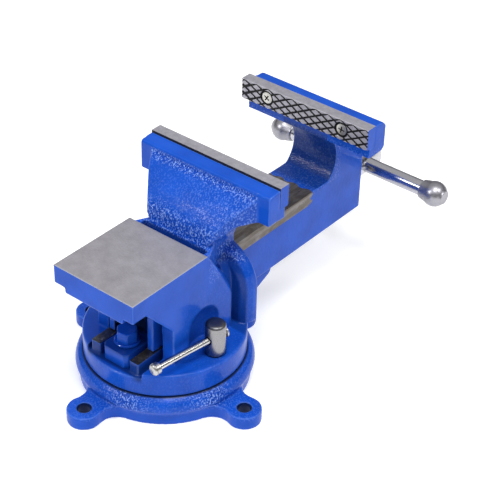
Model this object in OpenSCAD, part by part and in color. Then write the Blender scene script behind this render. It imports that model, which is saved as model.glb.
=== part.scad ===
// Bench vise with a swivel base and a flat anvil.
// Millimetres, +Z up. The origin is on the swivel axis at the bench surface.
// The lead screw runs along Y. The moving jaw and its handle are towards -Y, and the anvil towards +Y.

/* [Jaws] */
// Width of the jaws
jaw_w = 125; // [115:1:135]
// Distance between the jaw plates as drawn
jaw_gap = 98; // [70:1:110]
// Height of the top of the jaw plates above the bench
jaw_top = 165; // [160:1:172]
// Height of a jaw plate
plate_h = 18.3; // [16:0.1:19]
// Thickness of a jaw plate
plate_t = 10; // [9:0.5:11]
// Distance between the two screws of a jaw plate
plate_screw_gap = 74; // [60:1:90]

/* [Slide and lead screw] */
// Outer width of the slide
slide_w = 44; // [42:0.5:46]
// Thickness of the slide's side walls
slide_wall = 6; // [5:0.5:7]
// Height of the top of the slide above the bench
slide_top = 97.5; // [96:0.5:98]
// Diameter of the lead screw
screw_d = 18; // [16:0.5:19]
// Height of the lead screw above the bench
screw_z = 76; // [75:0.5:77]
// Diameter of the handle bar
bar_d = 13.2; // [11:0.2:15]
// Length of the handle between the middles of its knobs
bar_l = 158; // [140:1:180]
// Diameter of a handle knob
knob_d = 21.5; // [18:0.5:23]
// Distance that the handle is pushed towards -X as drawn
bar_shift = 1; // [0:1:10]

/* [Anvil] */
// Width of the anvil
anvil_w = 77; // [74:0.5:80]
// Length of the anvil
anvil_l = 80.3; // [74:0.1:84]
// Height of the anvil's face above the bench
anvil_top = 122; // [118:0.5:124]

/* [Swivel base] */
// Radius of the turning disc
disc_r = 63; // [62:0.5:65]
// Height of the top of the disc
disc_top = 43.5; // [43:0.5:44.5]
// Height of the joint between base and disc
base_top = 24; // [22:0.5:25]
// Diameter of the bolt circle of the lugs
lug_pcd = 168; // [164:1:176]
// Diameter of a lug's hole
lug_hole_d = 11; // [9:0.5:13]
// Height of a lug
lug_h = 11; // [9:0.5:12]
// Turn of the base under the vise as drawn, in degrees
base_turn = -4; // [-10:1:10]

/* [Swivel lock] */
// Distance of a lock nut from the swivel axis
lock_x = 50; // [49:0.5:51]
// Diameter of a lock nut
lock_d = 16; // [14:0.5:18]
// Height of a lock nut
lock_h = 27; // [25:0.5:28]
// Diameter of a lock bar
lock_bar_d = 5.6; // [5:0.1:6]
// Turn of the -X lock bar towards the slide as drawn, in degrees from +Y
left_turn = 8.4; // [5:0.1:10]
// Turn of the +X lock bar away from the slide as drawn, in degrees from +Y
right_turn = 150; // [140:1:160]

/* [Hidden] */
$fn = 64;
eps = 0.01;

// Clearances
run_gap = 0.05;          // radial clearance of a turning or sliding fit
slide_gap = 0.4;         // clearance round the slide
face_gap = 0.3;          // clearance between base and disc

// Jaws, along Y
fixed_face_y = -66;
moving_face_y = fixed_face_y - jaw_gap;
plate_bottom = jaw_top - plate_h;
ledge_bottom = plate_bottom - 9.2;       // underside of both jaw heads
ledge_out = 4;                           // plate stands this far past the ledge below it
head_back = 24.5;                        // from plate face to the back of a jaw head
head_inset = 4.5;                        // the moving head's casting stops this far short of +X
cast_drop = 1.5;                         // painted casting lies this far below the plate's top
plate_screw_z = jaw_top - plate_h / 2;
head_d = 10;
shank_d = 5;
shank_end = 15;                          // depth of a jaw plate's screws behind its face
jaw_back_y = fixed_face_y + 22.6;        // rear face of the fixed jaw
jaw_back_z = 162.5;                      // its top, just below the plate's

// Slide
slide_hw = slide_w / 2;
slide_bottom = 50;
slide_front = moving_face_y - 57;
slide_back = moving_face_y + 202;
channel_top = slide_top - 7;
front_wall = 20;
neck_r = 25;                             // hollow of the moving jaw's neck
neck_y = moving_face_y + 6.5;
neck_z = slide_top + 19.5;

// Body
anvil_front = -4.3;
anvil_back = anvil_front + anvil_l;
anvil_hw = anvil_w / 2;
anvil_bottom = anvil_top - 16;
flange_front = -51;
flange_back = -37;
flange_hw = 49;
flange_top = 107;
flange_r = 34;
groove_back = -31;                       // front edge of the housing
housing_hw = 40;
trough_floor = 108;                      // trough between the fixed jaw and the anvil
column_hw = 24.6;                        // half-width of the fixed jaw's column
rail_top = slide_bottom - 0.3;
rail_end = 56;
pit_front = 3;                           // pit behind this Y, open towards the anvil's end
pit_floor = 39.5;
cheek_gap = 27;
pocket_r = 20;                           // pocket round a lock nut
pocket_top = 81;
spigot_r = 16;

// Base
lip_r = 66.5;
bulge_r = 69.3;
lug_r = 13.3;
blend_r = 14;
slot_half = 5.2;
slot_wide = 8;
slot_floor = 8;
slot_roof = 15.5;

// Lead screw
screw_r = screw_d / 2;
head_r = 14;
head_len = 40;
washer_t = 3;
head_back_y = slide_front - washer_t;
bar_y = head_back_y - head_len / 2;
screw_tip = slide_back - 3;
spring_y = slide_front + front_wall;
spring_len = 24;
spring_turns = 5;
spring_mean_r = 11.2;
wire_r = 1;

// Nut of the lead screw
foot_end = 56.5;
tower_front = 6;
tower_end = 29;
foot_hw = 12.4;
tower_hw = 14;
foot_top = 51.8;
nut_bolt_y = 42;
nut_bolt_r = 5;
nut_washer_t = 2.4;
hex_h = 9.5;
hex_d = 17.3;

// Lock
lock_bar_z = disc_top + 13.5;
lock_long = 58.6;
lock_short = 9.9;
lock_head_t = 1.5;
lock_mouth = 0.9;
lock_knob_r = 4.6;
lock_bolt_r = 5;

// A box from one corner to another
module block(low, high) {
    translate(low) cube(high - low);
}

// A cylinder along Y
module y_rod(r, y0, y1, x = 0, z = 0) {
    translate([x, y1, z]) rotate([90, 0, 0]) cylinder(r = r, h = y1 - y0);
}

// A cylinder along X
module x_rod(r, x0, x1, y = 0, z = 0) {
    translate([x0, y, z]) rotate([0, 90, 0]) cylinder(r = r, h = x1 - x0);
}

// An outline in the Y-Z plane, as thick as x1 - x0
module side_plate(x0, x1, outline) {
    translate([x0, 0, 0]) rotate([90, 0, 90]) linear_extrude(x1 - x0) polygon(outline);
}

// Both mirror images of a shape on the +X side
module both_sides() {
    children();
    mirror([1, 0, 0]) children();
}

// A block with two round top corners, like an arch seen from the front
module arch(hw, top, r, y0, y1, bottom) {
    block([-hw, y0, bottom], [hw, y1, top - r]);
    block([r - hw, y0, bottom], [hw - r, y1, top]);
    both_sides() y_rod(r, y0, y1, hw - r, top - r);
}

// Swivel base: round casting with four lugs and a T-slot for the lock bolts
module lug() {
    a = acos((pow(lug_pcd / 2, 2) + pow(lip_r + blend_r, 2) - pow(lug_r + blend_r, 2))
        / (lug_pcd * (lip_r + blend_r)));
    far = lip_r + blend_r;
    difference() {
        union() {
            translate([lug_pcd / 2, 0, 0]) cylinder(r = lug_r, h = lug_h);
            linear_extrude(lug_h) polygon([
                [0, 0], [far * cos(a), -far * sin(a)],
                [lug_pcd / 2, 0], [far * cos(a), far * sin(a)]
            ]);
        }
        translate([0, 0, -1]) cylinder(r = 62, h = lug_h + 2);
        for (s = [-1, 1])
            translate([far * cos(a), s * far * sin(a), -1]) cylinder(r = blend_r, h = lug_h + 2);
        translate([lug_pcd / 2, 0, -1]) cylinder(d = lug_hole_d, h = lug_h + 2);
    }
}

module base_ring() {
    rotate_extrude() polygon([
        [spigot_r + run_gap, 4], [58, 4], [58, 0], [lip_r, 0], [lip_r, lug_h - 2],
        [lip_r + 0.6, lug_h - 0.5], [bulge_r - 0.6, lug_h + 1.5], [bulge_r, lug_h + 4],
        [bulge_r - 0.6, lug_h + 7], [bulge_r - 2, base_top - 3], [disc_r + 0.5, base_top],
        [spigot_r + run_gap, base_top]
    ]);
}

module swivel_base() {
    color("royalblue") rotate([0, 0, base_turn]) difference() {
        union() {
            base_ring();
            for (k = [0:3]) rotate([0, 0, 90 * k]) lug();
        }
        // T-slot, and the round gap that lets a bolt's head in
        rotate_extrude() polygon([
            [lock_x - slot_half, slot_roof - eps], [lock_x - slot_half, base_top + 1],
            [lock_x + slot_half, base_top + 1], [lock_x + slot_half, slot_roof - eps]
        ]);
        rotate_extrude() polygon([
            [lock_x - slot_wide, slot_floor], [lock_x - slot_wide, slot_roof],
            [lock_x + slot_wide, slot_roof], [lock_x + slot_wide, slot_floor]
        ]);
        rotate([0, 0, 45]) translate([lock_x, 0, slot_floor]) cylinder(r = slot_wide, h = base_top);
    }
}

// Vise body: disc, housing, front flange, fixed jaw and anvil in one casting
back_outline = [
    [flange_front, 97], [-13, 97], [-13, 118], [-14.2, 122], [-15, 126],
    [-16.2, 130.5], [-20, 136.4], [-24, 141.7], [-31, 148.5], [-38, 153.8], [jaw_back_y, 157.5],
    [jaw_back_y, jaw_back_z - 2.2], [jaw_back_y - 0.8, jaw_back_z - 0.6], [jaw_back_y - 2.4, jaw_back_z],
    [fixed_face_y + plate_t, jaw_top - 1.8], [fixed_face_y + plate_t, ledge_bottom],
    [fixed_face_y + plate_t + 2, 122], [flange_front, 112]
];
wing_outline = [
    [0, 97], [column_hw, 97], [column_hw, 112], [26, 117], [30, 123],
    [36.5, 129.5], [41, 134.3], [44, 136.3], [56, ledge_bottom - 0.5], [56, jaw_top], [0, jaw_top]
];

module fixed_jaw_head() {
    y0 = fixed_face_y + ledge_out;
    side_plate(-jaw_w / 2, jaw_w / 2, [
        [y0, ledge_bottom], [jaw_back_y, ledge_bottom], [jaw_back_y, jaw_back_z - 2.2],
        [jaw_back_y - 0.8, jaw_back_z - 0.6], [jaw_back_y - 2.4, jaw_back_z],
        [fixed_face_y + plate_t, jaw_top - 1.8], [fixed_face_y + plate_t, plate_bottom],
        [y0, plate_bottom]
    ]);
    // column and wings that carry the head
    intersection() {
        side_plate(-jaw_w / 2, jaw_w / 2, back_outline);
        translate([0, flange_front - 10, 0]) mirror([0, 1, 0]) rotate([90, 0, 0])
            linear_extrude(60) both_halves(wing_outline);
        translate([0, 0, 90]) linear_extrude(80) polygon([
            [-51.8, -70], [-51.8, jaw_back_y], [-44.5, -32], [-28.6, -12],
            [28.6, -12], [44.5, -32], [51.8, jaw_back_y], [51.8, -70]
        ]);
    }
}

// An outline given for +X, drawn on both sides of the axis
module both_halves(outline) {
    polygon(outline);
    mirror([1, 0]) polygon(outline);
}

module housing() {
    // rolled flange round the slide, and the groove behind it
    hull() {
        arch(flange_hw - 1, flange_top - 1, flange_r - 1, flange_front, flange_front + 1, disc_top);
        arch(flange_hw, flange_top, flange_r, flange_front + 1.2, -45, disc_top);
    }
    hull() {
        arch(flange_hw, flange_top, flange_r, -46, -45, disc_top);
        arch(flange_hw - 2.6, flange_top - 2.6, flange_r - 2.6, -41, -40, disc_top);
    }
    hull() {
        arch(flange_hw - 2.6, flange_top - 2.6, flange_r - 2.6, -41, -40, disc_top);
        arch(42, 99, 25, flange_back - 1, flange_back, disc_top);
    }
    arch(34, 104, 24, flange_back - 1, groove_back + 1, disc_top - 1);
    block([-column_hw, flange_back - 1, 80], [column_hw, -14, 117]);
    // housing, from its shouldered front edge to the anvil
    hull() {
        arch(housing_hw, 90, 18, groove_back, groove_back + 1, disc_top - 1);
        block([-anvil_hw, anvil_front - 1, disc_top - 1], [anvil_hw, anvil_front + 1, anvil_top - 2]);
    }
    // ridges that run from the housing's shoulders up to the fixed jaw
    difference() {
        translate([0, 0, 85]) linear_extrude(34) polygon([
            [-anvil_hw, anvil_front + 1], [-column_hw, groove_back],
            [column_hw, groove_back], [anvil_hw, anvil_front + 1]
        ]);
        block([-31, -13, trough_floor], [31, anvil_front, anvil_top]);
    }
}

module anvil() {
    both_sides() side_plate(cheek_gap, anvil_hw, [
        [anvil_front, disc_top - 1], [33, disc_top - 1], [34, 76], [62, anvil_bottom],
        [62, anvil_top - 1], [anvil_front, anvil_top - 1]
    ]);
    block([-anvil_hw, anvil_front, anvil_bottom], [anvil_hw, anvil_back, anvil_top]);
    block([-cheek_gap - 1, anvil_front, anvil_bottom - 4.5], [cheek_gap + 1, anvil_back, anvil_top - 1]);
}

module chin() {
    side_plate(-20, 20, [
        [flange_front - 54, rail_top], [flange_front - 53.5, 46], [flange_front - 51, 43.5],
        [-69, 29], [-55, 26], [flange_back, 30], [flange_back, rail_top]
    ]);
}

module disc() {
    rotate_extrude() polygon([
        [0, slot_floor], [spigot_r, slot_floor], [spigot_r, base_top + face_gap],
        [disc_r, base_top + face_gap], [disc_r, disc_top - 1.6], [disc_r - 0.5, disc_top - 0.5],
        [disc_r - 1.6, disc_top], [0, disc_top]
    ]);
}

// Pocket in the body's side, with room for a lock nut and the short end of its bar
module lock_pocket() {
    translate([lock_x, 0, disc_top]) cylinder(r = pocket_r, h = pocket_top - pocket_r - disc_top);
    translate([lock_x, 0, pocket_top - pocket_r]) sphere(r = pocket_r);
}

module vise_body() {
    color("royalblue") difference() {
        union() {
            disc();
            housing();
            anvil();
            fixed_jaw_head();
            chin();
        }
        // way for the slide, narrow in front and wider behind
        block([-slide_hw - slide_gap, flange_front - 60, rail_top],
            [slide_hw + slide_gap, pit_front + eps, slide_top + slide_gap]);
        block([-cheek_gap, pit_front, rail_top - eps],
            [cheek_gap, anvil_back + 1, slide_top + slide_gap]);
        // pit round the rails and the nut's foot
        block([-cheek_gap, pit_front, pit_floor], [cheek_gap, anvil_back, rail_top]);
        // lock bolts and their pockets
        both_sides() {
            lock_pocket();
            translate([lock_x, 0, base_top - 1]) cylinder(r = lock_bolt_r + 0.3, h = 30);
        }
        // screws of the jaw plate, and the bolt of the nut
        for (s = [-1, 1])
            y_rod(shank_d / 2, fixed_face_y, fixed_face_y + shank_end,
                s * plate_screw_gap / 2, plate_screw_z);
        translate([0, nut_bolt_y, base_top + 1]) cylinder(r = nut_bolt_r, h = 30);
    }
    color("dimgray") both_sides()
        block([14.5, pit_front - eps, pit_floor - eps], [23.6, rail_end, rail_top]);
}

// Moving jaw: slide, neck and jaw head in one casting
module moving_jaw() {
    y = moving_face_y;
    color("royalblue") difference() {
        union() {
            block([-slide_hw, slide_front, slide_bottom], [slide_hw, slide_back, slide_top]);
            side_plate(-slide_hw, slide_hw, [
                [slide_front, slide_top - 5], [slide_front, slide_top + 24],
                [slide_front + 4, slide_top + 30], [y - head_back + 1, 154],
                [y - plate_t, ledge_bottom + 3], [y - ledge_out, ledge_bottom],
                [y - ledge_out - 4, slide_top - 5]
            ]);
            side_plate(-jaw_w / 2, jaw_w / 2 - head_inset, [
                [y - ledge_out, ledge_bottom], [y - ledge_out, plate_bottom],
                [y - plate_t, plate_bottom], [y - plate_t, jaw_top - cast_drop + 1],
                [y - head_back + 3.5, jaw_top - cast_drop], [y - head_back, jaw_top - 5],
                [y - head_back, ledge_bottom + 3], [y - head_back + 3, ledge_bottom]
            ]);
        }
        // hollow of the neck
        difference() {
            x_rod(neck_r, -slide_hw - 1, slide_hw + 1, neck_y, neck_z);
            block([-slide_hw - 2, slide_front, 0], [slide_hw + 2, slide_back, slide_top]);
            block([-slide_hw - 2, slide_front, ledge_bottom], [slide_hw + 2, slide_back, jaw_top + 1]);
        }
        // channel, open below and behind
        block([slide_wall - slide_hw, slide_front + front_wall, slide_bottom - 1],
            [slide_hw - slide_wall, slide_back + 1, channel_top]);
        // bore for the lead screw
        y_rod(screw_r + run_gap, slide_front - 1, slide_front + front_wall + 1, 0, screw_z);
        for (s = [-1, 1])
            y_rod(shank_d / 2, y - shank_end, y - plate_t + 1, s * plate_screw_gap / 2, plate_screw_z);
    }
}

// Jaw plate with its gripping face at y = 0 and its back at y = plate_t
module jaw_plate() {
    difference() {
        block([-jaw_w / 2, 0, plate_bottom], [jaw_w / 2, plate_t, jaw_top]);
        for (s = [-1, 1]) translate([s * plate_screw_gap / 2, 0, plate_screw_z]) {
            y_rod(shank_d / 2 + 0.25, -1, plate_t + 1);
            y_rod(head_d / 2 + 0.6, -1, 0.8);
            translate([0, 0.8 - eps, 0]) rotate([-90, 0, 0])
                cylinder(r1 = head_d / 2 + 0.6, r2 = shank_d / 2 + 0.25, h = 2.9);
        }
    }
}

// Countersunk screws of a jaw plate, with cross slots
module plate_screws() {
    for (s = [-1, 1]) translate([s * plate_screw_gap / 2, 0, plate_screw_z]) difference() {
        union() {
            translate([0, 0.9, 0]) rotate([-90, 0, 0])
                cylinder(r1 = head_d / 2, r2 = shank_d / 2, h = 2.5);
            y_rod(shank_d / 2, 3.3, shank_end);
        }
        block([-2.6, 0, -0.5], [2.6, 2.4, 0.5]);
        block([-0.5, 0, -2.6], [0.5, 2.4, 2.6]);
    }
}

module fixed_jaw_plate() {
    color("darkgray") translate([0, fixed_face_y, 0]) jaw_plate();
}

module fixed_jaw_screws() {
    color("silver") translate([0, fixed_face_y, 0]) plate_screws();
}

module moving_jaw_plate() {
    color("darkgray") translate([0, moving_face_y, 0]) mirror([0, 1, 0]) jaw_plate();
}

module moving_jaw_screws() {
    color("silver") translate([0, moving_face_y, 0]) mirror([0, 1, 0]) plate_screws();
}

// Lead screw with its head; the thread is drawn at its outer diameter
module lead_screw() {
    color("silver") difference() {
        union() {
            y_rod(screw_r, head_back_y - 1, screw_tip - 2, 0, screw_z);
            y_rod(screw_r - 1.5, screw_tip - 3, screw_tip, 0, screw_z);
            y_rod(head_r, bar_y - head_len / 2 + 2, head_back_y, 0, screw_z);
            y_rod(head_r - 2, bar_y - head_len / 2, head_back_y, 0, screw_z);
        }
        x_rod(bar_d / 2 + run_gap, -head_r - 1, head_r + 1, bar_y, screw_z);
        translate([0, spring_y + spring_len + 4, screw_z - screw_r - 1])
            cylinder(r = 1.6, h = 2 * screw_r + 2);
    }
}

module ring_y(outer, inner, y0, y1, z) {
    difference() {
        y_rod(outer, y0, y1, 0, z);
        y_rod(inner, y0 - 1, y1 + 1, 0, z);
    }
}

module thrust_washer() {
    color("gainsboro") ring_y(head_r + 2, screw_r + run_gap, slide_front - washer_t, slide_front, screw_z);
}

module spring_washer() {
    y0 = spring_y + spring_len;
    color("silver") ring_y(13, screw_r + run_gap, y0, y0 + 2, screw_z);
}

// One ring of the spring's wire at turn t, seen as eight points
function wire_ring(t) = [for (k = [0:7])
    let (a = 360 * t, b = 45 * k, r = spring_mean_r + wire_r * cos(b))
    [r * cos(a), wire_r + t * (spring_len - 2 * wire_r) / spring_turns + wire_r * sin(b), r * sin(a)]];

module return_spring() {
    rings = 14 * spring_turns;
    points = [for (i = [0:rings]) each wire_ring(i / 14)];
    sides = [for (i = [0:rings - 1]) for (k = [0:7])
        [8 * i + k, 8 * i + (k + 1) % 8, 8 * i + 8 + (k + 1) % 8, 8 * i + 8 + k]];
    ends = [[for (k = [7:-1:0]) k], [for (k = [0:7]) 8 * rings + k]];
    color("gray") translate([0, spring_y + 0.05, screw_z]) polyhedron(points, concat(sides, ends));
}

module cotter_pin() {
    y0 = spring_y + spring_len + 4;
    color("silver") {
        translate([0, y0, screw_z - 12]) cylinder(r = 1.5, h = 24);
        translate([0, y0, screw_z + 11.9]) sphere(r = 1.9);
    }
}

module handle_bar() {
    color("silver") x_rod(bar_d / 2, -bar_l / 2 - bar_shift + 2, bar_l / 2 - bar_shift - 2, bar_y, screw_z);
}

// Ball with a flat end and a short neck, pressed on the end of the bar
module handle_knob() {
    difference() {
        union() {
            intersection() {
                sphere(d = knob_d);
                x_rod(knob_d, -knob_d, knob_d / 2 - 0.8);
            }
            x_rod(bar_d / 2 + 1.5, -knob_d / 2 - 1, 0);
        }
        x_rod(bar_d / 2, -knob_d, -2);
    }
}

module handle_knob_right() {
    color("silver") translate([bar_l / 2 - bar_shift, bar_y, screw_z]) handle_knob();
}

module handle_knob_left() {
    color("silver") translate([-bar_l / 2 - bar_shift, bar_y, screw_z]) mirror([1, 0, 0]) handle_knob();
}

// Nut of the lead screw: a foot bolted to the disc and a tower inside the slide
module nut_foot() {
    translate([0, 0, pit_floor]) linear_extrude(foot_top - pit_floor) polygon([
        [-foot_hw, tower_front], [-foot_hw, foot_end - 3], [3 - foot_hw, foot_end],
        [foot_hw - 3, foot_end], [foot_hw, foot_end - 3], [foot_hw, tower_front]
    ]);
}

module lead_nut() {
    color("royalblue") difference() {
        union() {
            nut_foot();
            block([-tower_hw, tower_front, foot_top - 1], [tower_hw, tower_end, screw_z]);
            y_rod(tower_hw, tower_front, tower_end, 0, screw_z);
        }
        y_rod(screw_r + run_gap, tower_front - 1, tower_end + 1, 0, screw_z);
        translate([0, nut_bolt_y, 0]) cylinder(r = nut_bolt_r + 0.3, h = 80);
    }
}

module lead_nut_bolt() {
    color("royalblue") translate([0, nut_bolt_y, 0]) {
        translate([0, 0, foot_top + nut_washer_t]) rotate([0, 0, 12]) cylinder(d = hex_d, h = hex_h, $fn = 6);
        translate([0, 0, base_top + 3]) cylinder(r = nut_bolt_r, h = foot_top - base_top);
    }
}

module lead_nut_washer() {
    color("royalblue") translate([0, nut_bolt_y, foot_top]) difference() {
        cylinder(r = 9.8, h = nut_washer_t);
        translate([0, 0, -1]) cylinder(r = nut_bolt_r + 0.3, h = 5);
    }
}

// Swivel lock: T-headed bolt, round nut, and a bar with a knob at one end and a thin head at the other.
// Each is drawn round its own bolt, with the long end of the bar towards +Y.
module lock_bolt() {
    translate([0, 0, slot_roof - 6]) block([-7, -7, 0], [7, 7, 5.8]);
    translate([0, 0, slot_roof - 2]) cylinder(r = lock_bolt_r, h = disc_top - slot_roof + 9);
}

module lock_nut() {
    translate([0, 0, disc_top]) difference() {
        union() {
            cylinder(d = lock_d, h = lock_h - 1.2);
            translate([0, 0, lock_h - 1.2 - eps]) cylinder(d1 = lock_d, d2 = lock_d - 3, h = 1.2);
        }
        translate([0, 0, -1]) cylinder(r = lock_bolt_r + run_gap, h = 9);
        y_rod(lock_bar_d / 2 + run_gap, -lock_d, lock_d, 0, lock_bar_z - disc_top);
        y_rod(lock_bar_d / 2 + lock_mouth, lock_d / 2 - 2.2, lock_d, 0, lock_bar_z - disc_top);
    }
}

module lock_bar() {
    y_rod(lock_bar_d / 2, -lock_short, lock_long - 1, 0, lock_bar_z);
}

// A knob with a rounded outer end, pressed on the bar
module lock_knob() {
    difference() {
        union() {
            y_rod(lock_knob_r, -2.4, 2.4);
            translate([0, 2.4 - eps, 0]) rotate([-90, 0, 0])
                cylinder(r1 = lock_knob_r, r2 = lock_knob_r - 1.4, h = 1.4);
        }
        y_rod(lock_bar_d / 2, -4, 0.5);
    }
}

// A thin head close against the nut, with the bar riveted through it
module lock_head() {
    difference() {
        y_rod(lock_knob_r, -lock_short, lock_head_t - lock_short);
        y_rod(lock_bar_d / 2, -lock_short - 1, 0);
    }
}

module lock_knobs() {
    translate([0, 0, lock_bar_z]) {
        translate([0, lock_long - 1.5, 0]) lock_knob();
        lock_head();
    }
}

module on_left() {
    translate([-lock_x, 0, 0]) rotate([0, 0, -left_turn]) children();
}

module on_right() {
    translate([lock_x, 0, 0]) rotate([0, 0, -right_turn]) children();
}

module lock_bolt_left() { color("silver") translate([-lock_x, 0, 0]) lock_bolt(); }
module lock_bolt_right() { color("silver") translate([lock_x, 0, 0]) lock_bolt(); }
module lock_nut_left() { color("silver") on_left() lock_nut(); }
module lock_nut_right() { color("silver") on_right() lock_nut(); }
module lock_bar_left() { color("gainsboro") on_left() lock_bar(); }
module lock_bar_right() { color("gainsboro") on_right() lock_bar(); }
module lock_knobs_left() { color("gainsboro") on_left() lock_knobs(); }
module lock_knobs_right() { color("gainsboro") on_right() lock_knobs(); }

swivel_base();
vise_body();
moving_jaw();
fixed_jaw_plate();
fixed_jaw_screws();
moving_jaw_plate();
moving_jaw_screws();
lead_screw();
thrust_washer();
return_spring();
spring_washer();
cotter_pin();
handle_bar();
handle_knob_left();
handle_knob_right();
lead_nut();
lead_nut_bolt();
lead_nut_washer();
lock_bolt_left();
lock_bolt_right();
lock_nut_left();
lock_nut_right();
lock_bar_left();
lock_bar_right();
lock_knobs_left();
lock_knobs_right();
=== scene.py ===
"""Bench vise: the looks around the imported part, in the part's own frame.

The frame, the camera and the lights are in metres; every other size here is in millimetres.
"""

import math

import bmesh
import bpy
import numpy as np
from mathutils import Matrix, Vector, noise


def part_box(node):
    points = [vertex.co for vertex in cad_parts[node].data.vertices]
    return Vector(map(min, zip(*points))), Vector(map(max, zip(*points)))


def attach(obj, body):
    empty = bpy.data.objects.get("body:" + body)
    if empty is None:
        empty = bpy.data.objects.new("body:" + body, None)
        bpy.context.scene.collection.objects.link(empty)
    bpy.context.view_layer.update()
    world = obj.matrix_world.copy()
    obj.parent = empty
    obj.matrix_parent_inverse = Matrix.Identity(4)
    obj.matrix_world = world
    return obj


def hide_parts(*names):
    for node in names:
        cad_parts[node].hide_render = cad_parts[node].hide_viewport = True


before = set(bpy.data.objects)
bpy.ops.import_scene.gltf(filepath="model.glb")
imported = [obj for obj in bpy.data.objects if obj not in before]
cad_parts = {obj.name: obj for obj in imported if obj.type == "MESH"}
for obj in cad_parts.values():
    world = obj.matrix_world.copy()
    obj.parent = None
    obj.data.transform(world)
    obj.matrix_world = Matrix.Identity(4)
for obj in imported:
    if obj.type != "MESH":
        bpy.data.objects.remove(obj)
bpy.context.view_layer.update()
MM = 0.001


# ---------------------------------------------------------------- sizes, as the CAD has them

def box_mm(node):
    """Lowest and highest corner of a CAD node, in millimetres."""
    low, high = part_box(node)
    return np.array(low) / MM, np.array(high) / MM


MOVING_PLATE = box_mm("moving_jaw_plate")
FIXED_PLATE = box_mm("fixed_jaw_plate")
BAR_LOW, BAR_HIGH = box_mm("handle_bar")
SCREW_Z = float((BAR_LOW[2] + BAR_HIGH[2]) / 2)
BAR_Y = float((BAR_LOW[1] + BAR_HIGH[1]) / 2)
BAR_R = float((BAR_HIGH[2] - BAR_LOW[2]) / 2)
ANVIL_TOP = 122.0
ANVIL_FRONT, ANVIL_BACK = -4.3, 76.0
ANVIL_HALF = 38.5
RAIL_TOP = 49.7
BASE_TOP = 24.0
LUG_RADIUS = 84.0
BASE_TURN = math.radians(-4)
BOLT_R = 4.9


# ---------------------------------------------------------------- materials

def material(name):
    """A new material, with its node tree and its main shader."""
    m = bpy.data.materials.new(name)
    m.use_nodes = True
    tree = m.node_tree
    return m, tree, tree.nodes["Principled BSDF"]


def coordinates(tree, stretch=(1, 1, 1)):
    """Object coordinates in millimetres, stretched."""
    coord = tree.nodes.new("ShaderNodeTexCoord")
    mapping = tree.nodes.new("ShaderNodeMapping")
    mapping.inputs["Scale"].default_value = [s / MM for s in stretch]
    tree.links.new(coord.outputs["Object"], mapping.inputs["Vector"])
    return mapping.outputs["Vector"]


def noise_of(tree, vector, scale, detail=2.0, rough=0.5, distort=0.0):
    """Noise from about 0 to 1; a larger scale is finer."""
    n = tree.nodes.new("ShaderNodeTexNoise")
    n.inputs["Scale"].default_value = scale
    n.inputs["Detail"].default_value = detail
    n.inputs["Roughness"].default_value = rough
    n.inputs["Distortion"].default_value = distort
    tree.links.new(vector, n.inputs["Vector"])
    return n.outputs["Fac"]


def ramp(tree, fac, stops):
    """A colour ramp from (place, colour) stops."""
    r = tree.nodes.new("ShaderNodeValToRGB")
    r.color_ramp.elements[0].position = stops[0][0]
    r.color_ramp.elements[0].color = (*stops[0][1], 1)
    r.color_ramp.elements[-1].position = stops[-1][0]
    r.color_ramp.elements[-1].color = (*stops[-1][1], 1)
    for place, colour in stops[1:-1]:
        r.color_ramp.elements.new(place).color = (*colour, 1)
    tree.links.new(fac, r.inputs["Fac"])
    return r.outputs["Color"]


def attribute(tree, name):
    """A value painted on the vertices."""
    a = tree.nodes.new("ShaderNodeAttribute")
    a.attribute_name = name
    return a.outputs["Fac"]


def math_node(tree, operation, a, b):
    """One operation on two sockets or numbers."""
    n = tree.nodes.new("ShaderNodeMath")
    n.operation = operation
    for socket, value in zip(n.inputs, (a, b)):
        if isinstance(value, (int, float)):
            socket.default_value = value
        else:
            tree.links.new(value, socket)
    return n.outputs[0]


def product(tree, *factors):
    """The product of sockets and numbers."""
    result = factors[0]
    for factor in factors[1:]:
        result = math_node(tree, "MULTIPLY", result, factor)
    return result


def blend(tree, a, b):
    """Six parts of one socket to four of another."""
    return math_node(tree, "ADD", product(tree, a, 0.6), product(tree, b, 0.4))


def mix_colour(tree, fac, a, b):
    """Colour a where the factor is 0, colour b where it is 1."""
    n = tree.nodes.new("ShaderNodeMix")
    n.data_type = "RGBA"
    n.blend_type = "MIX"
    for key, value in (("Factor", fac), ("A", a), ("B", b)):
        socket = [s for s in n.inputs if s.name == key and s.type in ("RGBA", "VALUE")
                  and (s.type == "RGBA") == (key != "Factor")][0]
        if isinstance(value, (int, float)):
            socket.default_value = value
        elif isinstance(value, tuple):
            socket.default_value = (*value, 1)
        else:
            tree.links.new(value, socket)
    return [s for s in n.outputs if s.type == "RGBA"][0]


def bump(tree, shader, height, strength, distance=0.3, normal=None):
    """Bump on the shader; distance in millimetres."""
    b = tree.nodes.new("ShaderNodeBump")
    b.inputs["Distance"].default_value = distance * MM
    if isinstance(strength, (int, float)):
        b.inputs["Strength"].default_value = strength
    else:
        tree.links.new(strength, b.inputs["Strength"])
    tree.links.new(height, b.inputs["Height"])
    if normal is not None:
        tree.links.new(normal, b.inputs["Normal"])
    tree.links.new(b.outputs["Normal"], shader.inputs["Normal"])
    return b.outputs["Normal"]


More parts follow.
